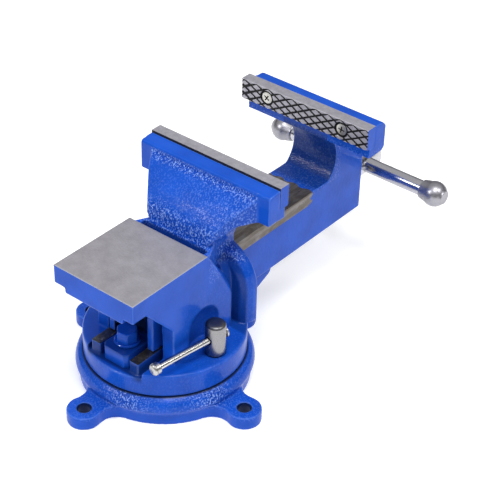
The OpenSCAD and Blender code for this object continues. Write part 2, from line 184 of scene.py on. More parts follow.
def enamel():
    """Glossy hammered blue enamel.

    One attribute gives relief, light specks as painted highlights, dark spots as painted shade;
    the edge attribute adds painted highlight on thin-paint edges; another paints shade and seams.
    """
    m, tree, shader = material("blue_enamel")
    place = coordinates(tree)
    hammer_and_sparkle = attribute(tree, "hammer_and_sparkle")
    tint = ramp(tree, noise_of(tree, place, 0.05, 3), [
        (0.3, (0.004, 0.062, 0.42)), (0.7, (0.007, 0.082, 0.52))])
    grain = noise_of(tree, coordinates(tree, (1, 0.8, 0.65)), 0.95, 1, 0.4, 0.4)
    # Light specks where the grain is high: painted highlights, the sparkle of the hammered coat.
    painted_glints = ramp(tree, grain, [(0.53, (0, 0, 0)), (0.63, (1, 1, 1))])
    tint = mix_colour(tree, product(tree, painted_glints, hammer_and_sparkle, 0.46), tint, (0.42, 0.60, 1.0))
    # Dark spots where the grain is low, in the bump's hollows: painted shade.
    painted_dip_shade = ramp(tree, grain, [(0.34, (1, 1, 1)), (0.50, (0, 0, 0))])
    tint = mix_colour(tree, product(tree, painted_dip_shade, hammer_and_sparkle, 0.60), tint, (0.001, 0.014, 0.22))
    # Lighter along convex edges: a painted highlight, and thinner paint there.
    tint = mix_colour(tree, product(tree, attribute(tree, "edge"), 0.55), tint, (0.14, 0.28, 0.80))
    # Near black as painted shade in hollows, tunnels and holes, and along dark seams.
    grime = mix_colour(tree, attribute(tree, "shade_and_seam"), tint, (0.004, 0.006, 0.012))
    tree.links.new(grime, shader.inputs["Base Color"])
    shader.inputs["Roughness"].default_value = 0.30
    shader.inputs["Specular IOR Level"].default_value = 0.04
    shader.inputs["Coat Weight"].default_value = 0.34
    shader.inputs["Coat Roughness"].default_value = 0.07
    shader.inputs["Coat IOR"].default_value = 1.45
    strength = math_node(tree, "MULTIPLY_ADD", hammer_and_sparkle, 0.85)
    strength.node.inputs[2].default_value = 0.06
    first = bump(tree, shader, grain, strength, 0.8)
    relief = bump(tree, shader, noise_of(tree, place, 0.33, 2), 0.16, 0.8, first)
    tree.links.new(relief, shader.inputs["Coat Normal"])
    return m


def ground_steel(name, colour, rough, grain=(0.25, 2.2, 1.0)):
    """Bare ground steel with a fine grain."""
    m, tree, shader = material(name)
    place = coordinates(tree)
    streaks = noise_of(tree, coordinates(tree, grain), 1.6, 4, 0.6)
    blotches = noise_of(tree, place, 0.09, 3)
    low = tuple(0.80 * c for c in colour)
    high = tuple(min(1.0, 1.16 * c) for c in colour)
    tone = ramp(tree, blend(tree, streaks, blotches), [(0.35, low), (0.65, high)])
    tree.links.new(tone, shader.inputs["Base Color"])
    shader.inputs["Metallic"].default_value = 0.75
    shader.inputs["Roughness"].default_value = rough
    bump(tree, shader, streaks, 0.18, 0.06)
    return m


def plate_steel():
    """Steel of a jaw plate: bare lands, blackened grooves with ragged edges."""
    m, tree, shader = material("jaw_plate_steel")
    place = coordinates(tree)
    grain = noise_of(tree, coordinates(tree, (2.5, 1, 0.4)), 1.4, 4, 0.6)
    blotch = noise_of(tree, place, 0.25, 3)
    land = ramp(tree, blend(tree, grain, blotch), [
        (0.35, (0.30, 0.29, 0.33)), (0.65, (0.46, 0.45, 0.49))])
    ragged = product(tree, math_node(tree, "SUBTRACT", noise_of(tree, place, 0.9, 3), 0.5), 0.7)
    edge = math_node(tree, "ADD", attribute(tree, "groove"), ragged)
    bare_to, black_from = 0.26, 0.42
    black = ramp(tree, edge, [(bare_to, (0, 0, 0)), (black_from, (1, 1, 1))])
    tone = mix_colour(tree, black, land, (0.006, 0.006, 0.008))
    tree.links.new(tone, shader.inputs["Base Color"])
    metal = ramp(tree, edge, [(bare_to, (0.55,) * 3), (black_from, (0, 0, 0))])
    tree.links.new(metal, shader.inputs["Metallic"])
    shader.inputs["Roughness"].default_value = 0.5
    shader.inputs["Specular IOR Level"].default_value = 0.25
    bump(tree, shader, grain, 0.2, 0.08)
    return m


def slide_steel():
    """Machined slide with brown grease and a few run marks along Y."""
    m, tree, shader = material("slide_steel")
    place = coordinates(tree)
    smears = noise_of(tree, coordinates(tree, (1.0, 0.22, 1.0)), 0.16, 4, 0.6, 0.6)
    marks = noise_of(tree, coordinates(tree, (3.0, 0.10, 3.0)), 0.8, 3, 0.6)
    tone = ramp(tree, smears, [
        (0.30, (0.07, 0.058, 0.045)), (0.48, (0.14, 0.12, 0.10)),
        (0.62, (0.24, 0.225, 0.22)), (0.75, (0.11, 0.09, 0.07))])
    tone = mix_colour(tree, product(tree, marks, 0.35), tone, (0.08, 0.07, 0.055))
    tree.links.new(tone, shader.inputs["Base Color"])
    shader.inputs["Metallic"].default_value = 0.7
    gloss = ramp(tree, noise_of(tree, place, 0.2, 3), [(0.3, (0.25,) * 3), (0.7, (0.5,) * 3)])
    tree.links.new(gloss, shader.inputs["Roughness"])
    bump(tree, shader, marks, 0.15, 0.08)
    return m


def grease():
    """Black grease on the rails."""
    m, tree, shader = material("black_grease")
    place = coordinates(tree)
    smear = noise_of(tree, place, 0.22, 4, 0.65, 0.8)
    tone = ramp(tree, smear, [
        (0.40, (0.008, 0.008, 0.009)), (0.56, (0.03, 0.028, 0.026)),
        (0.68, (0.22, 0.20, 0.18))])
    tree.links.new(tone, shader.inputs["Base Color"])
    shader.inputs["Roughness"].default_value = 0.28
    shader.inputs["Coat Weight"].default_value = 0.4
    bump(tree, shader, smear, 0.5, 0.4)
    return m


def polished(name, colour, rough, stretch=(1, 1, 1), wear=0.12):
    """Polished or turned steel: faint rings or streaks, and small dark specks."""
    m, tree, shader = material(name)
    lines = noise_of(tree, coordinates(tree, stretch), 2.2, 3, 0.6)
    specks = noise_of(tree, coordinates(tree), 0.35, 4, 0.7)
    tone = ramp(tree, lines, [(0.35, tuple(c * (1 - wear) for c in colour)), (0.65, colour)])
    dull = ramp(tree, specks, [(0.62, (0, 0, 0)), (0.74, (0.55, 0.55, 0.55))])
    tone = mix_colour(tree, dull, tone, tuple(0.35 * c for c in colour))
    tree.links.new(tone, shader.inputs["Base Color"])
    shader.inputs["Metallic"].default_value = 1.0
    gloss = ramp(tree, lines, [(0.3, (rough * 0.8,) * 3), (0.7, (rough * 1.3,) * 3)])
    tree.links.new(gloss, shader.inputs["Roughness"])
    bump(tree, shader, lines, 0.08, 0.05)
    return m


def dark_metal(name, colour, rough):
    """Dark metal: oxidised on the spring; near black, painted shade on the jaw plates' backs."""
    m, tree, shader = material(name)
    cloud = noise_of(tree, coordinates(tree), 0.3, 4, 0.6)
    tone = ramp(tree, cloud, [(0.35, tuple(0.6 * c for c in colour)), (0.65, colour)])
    tree.links.new(tone, shader.inputs["Base Color"])
    shader.inputs["Metallic"].default_value = 0.4
    shader.inputs["Roughness"].default_value = rough
    bump(tree, shader, cloud, 0.2, 0.15)
    return m


ENAMEL = enamel()
ANVIL_STEEL = ground_steel("anvil_steel", (0.43, 0.415, 0.445), 0.5)
BRIGHT_EDGE = polished("bright_edge", (0.70, 0.70, 0.72), 0.3)
PLATE_STEEL = plate_steel()
SLIDE_STEEL = slide_steel()
GREASE = grease()
BAR_STEEL = polished("polished_bar", (0.56, 0.56, 0.60), 0.20, (0.15, 1.5, 1.5))
BALL_STEEL = polished("satin_ball", (0.42, 0.415, 0.45), 0.36, (1.2, 1.2, 1.2), 0.3)
SCREW_STEEL = polished("plated_screw", (0.62, 0.61, 0.57), 0.36, (1, 1, 1), 0.25)
LOCK_BAR_STEEL = polished(
    "polished_lock_bar", (0.60, 0.59, 0.57), 0.19, (1.5, 0.15, 1.5), 0.2)
KNOB_STEEL = polished("turned_knob", (0.56, 0.55, 0.53), 0.30, (1.5, 0.5, 1.5), 0.25)
NUT_STEEL = polished("turned_nut_steel", (0.34, 0.335, 0.345), 0.28, (3.0, 3.0, 0.5), 0.35)
# The nut's top takes a darker copy of its steel: painted shade.
NUT_TOP = polished("turned_nut_top", (0.16, 0.16, 0.17), 0.34, (1.5, 1.5, 1.5), 0.4)
MACHINED = polished("machined_steel", (0.46, 0.45, 0.43), 0.3, (1, 1, 1), 0.2)
SPRING_STEEL = dark_metal("spring_steel", (0.14, 0.14, 0.15), 0.35)
# Near black; on the jaw plates' backs it is painted shade.
DARK = dark_metal("dark_steel", (0.03, 0.03, 0.032), 0.5)


# ---------------------------------------------------------------- making pieces

def link(obj):
    """Puts an object into the scene."""
    bpy.context.scene.collection.objects.link(obj)
    return obj


def finish_mesh(mesh, angle=35):
    """Smooth shading, sharp over the given angle in degrees."""
    for p in mesh.polygons:
        p.use_smooth = True
    mesh.set_sharp_from_angle(angle=math.radians(angle))


def place_piece(obj, body, slot, *nodes):
    """Rides on the body and stands for the nodes; the slot is not used."""
    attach(obj, body)
    if nodes:
        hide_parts(*nodes)


def piece(name, verts_mm, faces, materials, angle=35):
    """A piece from vertices in millimetres and faces."""
    mesh = bpy.data.meshes.new(name)
    mesh.from_pydata([tuple(v) for v in np.asarray(verts_mm, float) * MM], [], faces)
    for m in materials:
        mesh.materials.append(m)
    mesh.validate()
    finish_mesh(mesh, angle)
    return link(bpy.data.objects.new(name, mesh))


def frame_to(origin, axis):
    """A matrix that takes +Z at the origin to the given axis at the given place, in millimetres."""
    turn = Vector((0, 0, 1)).rotation_difference(Vector(axis)).to_matrix().to_4x4()
    return Matrix.Translation(Vector(origin)) @ turn


def ring_faces(rings, count, closed=False, flip=False):
    """Faces between rings of vertices, each of the same count.

    Closed joins the last ring to the first; otherwise both ends are capped.
    """
    faces = []
    for i in range(rings if closed else rings - 1):
        here, there = i * count, (i + 1) % rings * count
        for k in range(count):
            n = (k + 1) % count
            faces.append((here + k, here + n, there + n, there + k))
    if not closed:
        last = (rings - 1) * count
        faces.append(tuple(range(count - 1, -1, -1)))
        faces.append(tuple(range(last, last + count)))
    if flip:
        faces = [(face[0], *face[:0:-1]) for face in faces]
    return faces


def lathe(name, profile, origin, axis, materials, closed_ring=False, count=64, angle=35):
    """A piece turned round the axis, from a profile of (radius, distance along the axis)."""
    place = frame_to(origin, axis)
    verts = []
    for r, h in profile:
        for k in range(count):
            a = 2 * math.pi * k / count
            verts.append(tuple(place @ Vector((r * math.cos(a), r * math.sin(a), h))))
    faces = ring_faces(len(profile), count, closed_ring)
    return piece(name, verts, faces, materials, angle)


def apply_modifiers(obj):
    """Replaces the object's mesh by its evaluated one."""
    graph = bpy.context.evaluated_depsgraph_get()
    mesh = bpy.data.meshes.new_from_object(obj.evaluated_get(graph))
    obj.modifiers.clear()
    obj.data = mesh


def cut(obj, cutter):
    """Takes the cutter's shape out of the piece, and removes the cutter."""
    mod = obj.modifiers.new("cut", "BOOLEAN")
    mod.object = cutter
    mod.solver = "EXACT"
    bpy.context.view_layer.update()
    apply_modifiers(obj)
    bpy.data.objects.remove(cutter)


def drill(obj, radius, origin, axis, length):
    """Cuts a round hole into the piece; the origin is the middle of the cut."""
    ends = [(radius, -length / 2), (radius, length / 2)]
    cut(obj, lathe("cutter", ends, origin, axis, [DARK], count=48))
    finish_mesh(obj.data)


def vectors_of(parts, key):
    """One vector of each vertex or face of a mesh, as rows."""
    flat = np.empty(len(parts) * 3)
    parts.foreach_get(key, flat)
    return flat.reshape(-1, 3)


def between(values, low, high, soft):
    """1 inside the range, falling to 0 over soft outside it."""
    return np.clip(np.minimum(values - low, high - values) / soft + 1, 0, 1)


def cell_noise(points, size):
    """Smooth noise of about -1 to 1 at each point, with bumps of the given size."""
    return np.array([noise.noise(Vector(p)) for p in points / size])


def casting(name, node, voxel, passes, keep, hammer_and_sparkle, shade_and_seam):
    """A cast piece from a CAD node: rounded edges, crisp machined faces, hammered paint.

    The three functions take the vertices and their normals, and give 0 to 1 for each: how much
    it stays where the CAD has it, its relief and painted sparkle, its painted shade and seams.
    """
    obj = link(bpy.data.objects.new(name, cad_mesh(node)))
    remesh = obj.modifiers.new("remesh", "REMESH")
    remesh.mode = "VOXEL"
    remesh.voxel_size = voxel * MM
    apply_modifiers(obj)
    sharp = vectors_of(obj.data.vertices, "co") / MM
    smooth = obj.modifiers.new("smooth", "SMOOTH")
    smooth.factor = 0.5
    smooth.iterations = passes
    apply_modifiers(obj)
    soft = vectors_of(obj.data.vertices, "co") / MM
    normals = vectors_of(obj.data.vertices, "normal")
    k = keep(sharp, normals)[:, None]
    points = sharp * k + soft * (1 - k)
    h = hammer_and_sparkle(points, normals)
    live = h > 0.01
    lift = np.zeros(len(points))
    waves = cell_noise(points[live], 1.7) + 0.4 * cell_noise(points[live] + 50, 3.2)
    lift[live] = HAMMER_LIFT * h[live] * waves
    points = points + normals * lift[:, None]
    obj.data.vertices.foreach_set("co", (points * MM).ravel())
    # The edge value marks convex edges, which the enamel lightens: a painted highlight, and thinner
    # paint.
    rounded_off = ((sharp - soft) * normals).sum(1)
    edge = np.clip(rounded_off / 0.28 - 0.25, 0, 1)
    for label, values in (("hammer_and_sparkle", h), ("shade_and_seam", shade_and_seam(points, normals)), ("edge", edge)):
        layer = obj.data.attributes.new(label, "FLOAT", "POINT")
        layer.data.foreach_set("value", np.asarray(values, float))
    obj.data.update()
    return obj


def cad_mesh(node):
    """A copy of a CAD node's mesh, with its materials taken off."""
    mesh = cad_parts[node].data.copy()
    mesh.materials.clear()
    return mesh


def paint_faces(obj, materials, choose):
    """Gives each face the material whose number choose(centres, normals) returns."""
    mesh = obj.data
    mesh.materials.clear()
    for m in materials:
        mesh.materials.append(m)
    centres = vectors_of(mesh.polygons, "center") / MM
    index = choose(centres, vectors_of(mesh.polygons, "normal"))
    mesh.polygons.foreach_set("material_index", np.asarray(index, np.int32))
    finish_mesh(mesh, 50)


def none(points, normals):
    """Nowhere."""
    return np.zeros(len(points))


# ---------------------------------------------------------------- castings

CAST_VOXEL = 0.75
HAMMER_LIFT = 0.16
RAIL_X = (14, 24)
RAIL_BACK = 57


def body_keep(p, n):
    """The anvil's top and its edges, the tops of the rails, and the seat of the jaw plate."""
    x, y, z = np.abs(p[:, 0]), p[:, 1], p[:, 2]
    anvil = ((z > ANVIL_TOP - 0.9) & (x < ANVIL_HALF + 1)
             & (y > ANVIL_FRONT - 1) & (y < ANVIL_BACK + 1))
    rails = ((np.abs(z - RAIL_TOP) < 0.5) & (x > RAIL_X[0]) & (x < RAIL_X[1])
             & (y > 4) & (y < RAIL_BACK))
    seat = (y < FIXED_PLATE[1][1] + 0.8) & (z > 136)
    return (anvil | rails | seat).astype(float)


def body_relief_and_sparkle(p, n):
    """Relief and painted sparkle, most on the fixed jaw's rear face in two painted highlight bands,
    and at the top of the groove below it.
    """
    x, y, z = np.abs(p[:, 0]), p[:, 1], p[:, 2]
    rear_face = between(y, -43, -11, 1.5) * between(z, 118, 160, 2) * (x < 51.5)
    rear_face = rear_face * (n[:, 1] > 0.25) * (n[:, 2] < 0.93)
    # Two bands of painted highlight on the rear face.
    shine = np.maximum(between(z, 155.5, 159, 2), 0.85 * between(z, 110, 131, 7))
    faint = 0.12 + 0.4 * np.clip((15 - p[:, 0]) / 70, 0, 1)
    rear_face = rear_face * np.maximum(shine, faint)
    groove_top = between(z, 98, 108, 3) * 0.9
    groove = between(y, -46, -34, 2) * np.maximum(groove_top, between(z, 44, 98, 2) * 0.06)
    ridge = between(y, -36, -8, 4) * between(z, 98, 124, 4) * (x > 20) * 0.4
    pocket = between(y, -26, 24, 6) * between(z, 44, 90, 6) * (x > 28) * 0.06
    column = between(y, -60, -20, 4) * between(z, 96, 137, 3) * 0.2
    disc = between(z, 26, 42, 1) * (np.hypot(p[:, 0], y) > 60) * 0.05
    return np.clip(np.maximum.reduce([rear_face, groove, ridge, pocket, column, disc]), 0, 1)


def body_shade_and_seam(p, n):
    """Painted shade: black in the tunnel, grey in the pit, groove and trough; and the dark seam."""
    x, y, z = np.abs(p[:, 0]), p[:, 1], p[:, 2]
    pit = between(y, 3, 58, 2) * (x < 27.3) * between(z, 38, 48, 4) * 0.75
    groove = between(y, -40, -30, 1.5) * between(z, 44, 99, 3) * 0.42
    trough = between(y, -13.5, -4.2, 0.8) * between(z, 100, 117.5, 1.5) * (x < 33) * 0.5
    tunnel = (x < 23.4) * between(z, 50, 98.2, 0.3) * between(y, -60, 66, 6)
    seam = between(z, BASE_TOP - 0.5, BASE_TOP + 0.5, 0.4) * 0.9
    return np.clip(np.maximum.reduce([pit * 0.8, tunnel * 0.97, seam, groove, trough]), 0, 1)


def body_faces(c, n):
    """0 enamel, 1 the anvil's ground top, 2 its bright edges, 3 grease on the rails."""
    x, y, z = np.abs(c[:, 0]), c[:, 1], c[:, 2]
    on_anvil = (z > ANVIL_TOP - 0.75) & (x < ANVIL_HALF + 1) & (y > ANVIL_FRONT - 1)
    top = on_anvil & (n[:, 2] > 0.9)
    edge = on_anvil & (n[:, 2] > 0.3) & ~top
    rails = ((np.abs(z - RAIL_TOP) < 0.6) & (x > RAIL_X[0]) & (x < RAIL_X[1])
             & (y > 3) & (y < RAIL_BACK) & (n[:, 2] > 0.4))
    return np.select([top, edge, rails], [1, 2, 3], 0)


def make_body():
    obj = casting("body_casting", "vise_body", CAST_VOXEL, 9, body_keep, body_relief_and_sparkle, body_shade_and_seam)
    paint_faces(obj, [ENAMEL, ANVIL_STEEL, BRIGHT_EDGE, GREASE], body_faces)
    place_piece(obj, "body", "blue_enamel", "vise_body")


def jaw_keep(p, n):
    """The machined slide, and the seat of the jaw plate."""
    y, z = p[:, 1], p[:, 2]
    slide = (y > -150) & (z > 86)
    seat = (y > MOVING_PLATE[0][1] - 0.8) & (z > 138)
    return (slide | seat).astype(float)


def jaw_relief_and_sparkle(p, n):
    """Relief and painted sparkle on the neck's hollow and, faintly, on the front."""
    y, z = p[:, 1], p[:, 2]
    neck = between(y, -186, -150, 4) * between(z, 96, 140, 3)
    front = between(y, -222, -219, 2)
    return np.clip(np.maximum(neck * 0.28, front * 0.2), 0, 1)


def jaw_painted_shade(p, n):
    """Painted shade: black in the channel under the slide, grey in the neck's hollow."""
    x, y, z = np.abs(p[:, 0]), p[:, 1], p[:, 2]
    inside = (x < 16.6) * between(z, 48, 91.2, 0.6) * (y > -202)
    neck = between(y, -184, -160, 8) * between(z, 99, 138, 8) * (n[:, 1] > -0.2) * (x < 21.5)
    return np.clip(np.maximum(inside * 0.97, neck * 0.62), 0, 1)


def jaw_faces(c, n):
    """0 enamel, 1 the bare slide; the paint ends in a wandering line."""
    x, y, z = np.abs(c[:, 0]), c[:, 1], c[:, 2]
    wander = 1.5 * np.sin(z * 0.9) + 1.2 * np.sin(c[:, 0] * 0.45)
    run_out = -152 + wander + 5 * np.clip((90 - z) / 3.5, 0, 1) ** 2
    bare = (y > run_out) & (z > 86.5) & ((x > 21) | (z > 96))
    return np.where(bare, 1, 0)


def make_moving_jaw():
    obj = casting(
        "moving_jaw_casting", "moving_jaw", CAST_VOXEL, 9, jaw_keep, jaw_relief_and_sparkle, jaw_painted_shade)
    paint_faces(obj, [ENAMEL, SLIDE_STEEL], jaw_faces)
    place_piece(obj, "slide", "blue_enamel", "moving_jaw")


def base_relief_and_sparkle(p, n):
    """Relief and painted sparkle on the ring below the disc, most at two painted highlight spots on
    its rear left, and a little on the lugs.
    """
    r = np.hypot(p[:, 0], p[:, 1])
    z = p[:, 2]
    around = np.degrees(np.arctan2(p[:, 1], p[:, 0]))
    # Two spots of painted highlight on the ring.
    shine = np.exp(-((around - 106) / 11) ** 2) + np.exp(-((around - 162) / 11) ** 2)
    ring = between(z, 12, 23, 2) * between(r, 60, 75, 1) * (0.12 + 0.88 * shine)
    lugs = between(z, 9, 12, 1) * (r > 66) * 0.15
    return np.clip(np.maximum(ring, lugs), 0, 1)


def base_seam_and_shade(p, n):
    """The dark seam under the disc, and painted shade in the lugs' holes."""
    r = np.hypot(p[:, 0], p[:, 1])
    seam = between(p[:, 2], BASE_TOP - 0.3, BASE_TOP + 1, 0.4) * (r > 60) * 0.9
    a = np.arctan2(p[:, 1], p[:, 0]) - BASE_TURN
    a = a - np.round(a / (np.pi / 2)) * np.pi / 2
    off_hole = np.hypot(r * np.cos(a) - LUG_RADIUS, r * np.sin(a))
    hole = between(off_hole, 0, 5.7, 0.3) * between(p[:, 2], -1, 10.2, 0.5)
    return np.clip(np.maximum(seam, hole * 0.85), 0, 1)


def make_base():
    obj = casting("base_casting", "swivel_base", CAST_VOXEL, 8, none, base_relief_and_sparkle, base_seam_and_shade)
    paint_faces(obj, [ENAMEL], none)
    place_piece(obj, "base", "blue_enamel", "swivel_base")


def make_lead_nut():
    # The nut is darkened where it stands inside the body: painted shade.
    obj = casting("lead_nut_casting", "lead_nut", 0.6, 4, none, none,
                  lambda p, n: between(p[:, 2], 56, 95, 8) * 0.9)
    paint_faces(obj, [ENAMEL], none)
    place_piece(obj, "body", "blue_enamel", "lead_nut")


# ---------------------------------------------------------------- jaw plates

LOZENGE_X = 11.9
LOZENGE_Z = 6.5
GROOVE_HALF = 0.95
GROOVE_DEPTH = 0.75
PLATE_GRID = (500, 76)
PLATE_SCREW_X = 37.0
PLATE_SCREW_DROP = 9.15
RECESS_R = 6.7
RECESS_DEPTH = 1.6
SLOT_SIZE = (5.8, 1.15, 2.6)


def groove_depth(x, z, top):
    """Depth of the diamond grooves and screw recesses on a plate's face, and its blackness."""
    across = 1 / math.hypot(1 / LOZENGE_X, 1 / LOZENGE_Z)
    near = np.full(x.shape, 9.0)
    for sign in (1, -1):
        u = x / LOZENGE_X + sign * (z - top) / LOZENGE_Z
        near = np.minimum(near, np.abs(u - np.round(u)) * across)
    limit = top - 1.0 + 0.7 * np.cos(2 * math.pi * x / LOZENGE_X)
    fade = np.clip((limit - z) / 0.6, 0, 1)
    half = GROOVE_HALF + 0.35 * np.clip((x - 50) / 6, 0, 1)
    groove = np.clip(1 - near / half, 0, 1) * fade
    depth = GROOVE_DEPTH * np.minimum(groove * 1.5, 1)
    black = np.clip(groove * 2.6, 0, 1)
    for side in (-1, 1):
        r = np.hypot(x - side * PLATE_SCREW_X, z - (top - PLATE_SCREW_DROP))
        inside = np.clip((RECESS_R - r) / 0.4, 0, 1)
        depth = np.maximum(depth, RECESS_DEPTH * inside)
        black = np.maximum(black, inside)
    return depth, black


def make_plate(name, node, body, box, face_sign):
    """A jaw plate: its gripping face is a fine grid with real grooves, its ends are painted, and
    its back is near black, painted shade where it shows above the casting.
    """
    (x0, y0, z0), (x1, y1, z1) = box
    face_y, back_y = (y1, y0) if face_sign > 0 else (y0, y1)
    nx, nz = PLATE_GRID
    xs = np.linspace(x0, x1, nx + 1)
    zs = np.linspace(z0, z1, nz + 1)
    gx, gz = np.meshgrid(xs, zs, indexing="ij")
    depth, black = groove_depth(gx, gz, z1)
    soften = np.clip(1 - np.minimum(gz - z0, z1 - gz) / 0.5, 0, 1) * 0.35
    front = np.stack([gx, face_y - face_sign * (depth + soften), gz], -1).reshape(-1, 3)
    index = np.arange((nx + 1) * (nz + 1)).reshape(nx + 1, nz + 1)
    ring = [*index[:, 0], *index[-1, 1:], *index[-2::-1, -1], *index[0, -2:0:-1]]
    back = front[ring].copy()
    back[:, 1] = back_y
    verts = np.vstack([front, back])
    base = len(front)
    faces, kinds = [], []
    for i in range(nx):
        for k in range(nz):
            quad = (index[i, k], index[i + 1, k], index[i + 1, k + 1], index[i, k + 1])
            faces.append(quad if face_sign < 0 else quad[::-1])
            kinds.append(0)
    count = len(ring)
    for j in range(count):
        n = (j + 1) % count
        quad = (ring[j], base + j, base + n, ring[n])
        faces.append(quad if face_sign < 0 else quad[::-1])
        here, there = front[ring[j]][0], front[ring[n]][0]
        at_end = abs(here - there) < 1e-6 and min(abs(here - x0), abs(here - x1)) < 0.01
        kinds.append(1 if at_end else 0)
    # The back face is near black: painted shade along the strip that shows above the casting.
    back_face = tuple(base + j for j in range(count))
    faces.append(back_face[::-1] if face_sign < 0 else back_face)
    kinds.append(2)
    faces = [tuple(int(v) for v in f) for f in faces]
    obj = piece(name, verts, faces, [PLATE_STEEL, ENAMEL, DARK], 40)
    obj.data.polygons.foreach_set("material_index", np.array(kinds, np.int32))
    layer = obj.data.attributes.new("groove", "FLOAT", "POINT")
    layer.data.foreach_set("value", np.concatenate([black.ravel(), np.zeros(count)]))
    place_piece(obj, body, "ground_steel", node)


def make_plate_screws(name, node, body, face_y, face_sign, top):
    """Cross-slotted screws, drawn as one piece with two heads."""
    middle = top - PLATE_SCREW_DROP
    into = -face_sign
    profile = [(1.4, 0.4), (3.2, 0.5), (4.75, 0.75), (4.85, 0.95), (4.6, 1.15), (2.4, 3.6),
               (2.4, 12)]
    screws = []
    for side in (-1, 1):
        x = side * PLATE_SCREW_X
        obj = lathe("screw", profile, (x, face_y, middle), (0, into, 0), [SCREW_STEEL, DARK])
        for turn in (20, 110):
            angle = math.radians(turn + side * 12)
            cut(obj, slot_cutter((x, face_y + into * 1.2, middle), angle, *SLOT_SIZE))
        finish_mesh(obj.data, 30)
        screws.append(obj)
    place_piece(join(name, screws), body, "bright_steel", node)


def slot_cutter(middle, angle, length, width, depth):
    """A bar across a screw head, turned about Y."""
    verts = []
    for y in (-depth / 2, depth / 2):
        for sx, sz in ((-1, -1), (1, -1), (1, 1), (-1, 1)):
            x = sx * length / 2
            z = sz * width / 2
            verts.append((middle[0] + x * math.cos(angle) - z * math.sin(angle), middle[1] + y,
                          middle[2] + x * math.sin(angle) + z * math.cos(angle)))
    faces = [(0, 1, 2, 3), (7, 6, 5, 4), (0, 4, 5, 1), (1, 5, 6, 2), (2, 6, 7, 3), (3, 7, 4, 0)]
    obj = piece("slot_cutter", verts, faces, [DARK])
    fix_normals(obj)
    return obj


def fix_normals(obj):
    """Turns all faces outwards."""
    bm = bmesh.new()
    bm.from_mesh(obj.data)
    bmesh.ops.recalc_face_normals(bm, faces=bm.faces)
    bm.to_mesh(obj.data)
    bm.free()


def join(name, objects):
    """One mesh object from several, with all their materials."""
    materials = []
    for obj in objects:
        for m in obj.data.materials:
            if m not in materials:
                materials.append(m)
    bm = bmesh.new()
    for obj in objects:
        start = len(bm.faces)
        bm.from_mesh(obj.data)
        bm.faces.ensure_lookup_table()
        numbers = [materials.index(m) for m in obj.data.materials]
        for f in bm.faces[start:]:
            f.material_index = numbers[f.material_index]
    mesh = bpy.data.meshes.new(name)
    bm.to_mesh(mesh)
    bm.free()
    for m in materials:
        mesh.materials.append(m)
    for obj in objects:
        bpy.data.objects.remove(obj)
    return link(bpy.data.objects.new(name, mesh))


# ---------------------------------------------------------------- lead screw and handle

THREAD_PITCH = 4.0
THREAD_CREST = 9.0
THREAD_ROOT = 7.2
WASHER_BORE_R = 9.1


def make_lead_screw():
    """The cross-drilled head, and the shank: plain through the front, then a real helix."""
    low, high = box_mm("lead_screw")
    washer_y = box_mm("thrust_washer")[0][1]
    head_r = (high[2] - low[2]) / 2
    head = lathe("screw_head", [
        (head_r - 3.0, low[1]), (head_r - 0.9, low[1] + 1.2), (head_r, low[1] + 3.0),
        (head_r, washer_y - 2.5), (head_r - 0.8, washer_y - 0.9), (head_r - 1.4, washer_y)],
        (0, 0, SCREW_Z), (0, 1, 0), [BAR_STEEL])
    drill(head, BAR_R + 0.1, (0, BAR_Y, SCREW_Z), (1, 0, 0), 3 * head_r)
    plain_end = box_mm("return_spring")[0][1] + 3
    count = 48
    angles = 2 * np.pi * np.arange(count) / count

    def circle(y, r):
        return y, np.full(count, r)

    rings = [circle(washer_y - 0.2, THREAD_CREST - 0.1), circle(plain_end - 2, THREAD_CREST - 0.1)]
    for y in np.arange(plain_end, high[1] - 2.5, 0.5):
        phase = (y / THREAD_PITCH - angles / (2 * np.pi)) % 1
        flank = np.clip(np.abs(phase - 0.5) * 8 - 1.5, 0, 1)
        rings.append((y, THREAD_CREST - 0.03 - (THREAD_CREST - THREAD_ROOT) * flank))
    rings += [circle(high[1] - 2, THREAD_ROOT), circle(high[1] - 0.3, THREAD_ROOT),
              circle(high[1], THREAD_ROOT - 0.6)]
    verts = [(r * math.cos(a), y, SCREW_Z + r * math.sin(a))
             for y, radii in rings for a, r in zip(angles, radii)]
    faces = ring_faces(len(rings), count, flip=True)
    thread = piece("screw_thread", verts, faces, [MACHINED], 50)
    place_piece(thread, "screw", "machined_steel", "lead_screw")
    place_piece(head, "screw", "machined_steel", "lead_screw")


def ring_profile(outer, inner, length, bevel=0.4):
    """The closed profile of a ring with bevelled edges."""
    return [(inner, bevel), (inner + bevel, 0), (outer - bevel, 0), (outer, bevel),
            (outer, length - bevel), (outer - bevel, length),
            (inner + bevel, length), (inner, length - bevel)]


def make_washers():
    for node in ("thrust_washer", "spring_washer"):
        low, high = box_mm(node)
        profile = ring_profile((high[0] - low[0]) / 2, WASHER_BORE_R, high[1] - low[1])
        obj = lathe(node + "_ring", profile, (0, low[1], SCREW_Z), (0, 1, 0), [MACHINED],
                    closed_ring=True)
        place_piece(obj, "screw", "machined_steel", node)
    low, high = box_mm("lead_nut_washer")
    profile = ring_profile((high[0] - low[0]) / 2, BOLT_R + 0.5, high[2] - low[2], 0.6)
    obj = lathe("nut_washer_ring", profile,
                ((low[0] + high[0]) / 2, (low[1] + high[1]) / 2, low[2]), (0, 0, 1), [ENAMEL],
                closed_ring=True)
    place_piece(obj, "body", "blue_enamel", "lead_nut_washer")


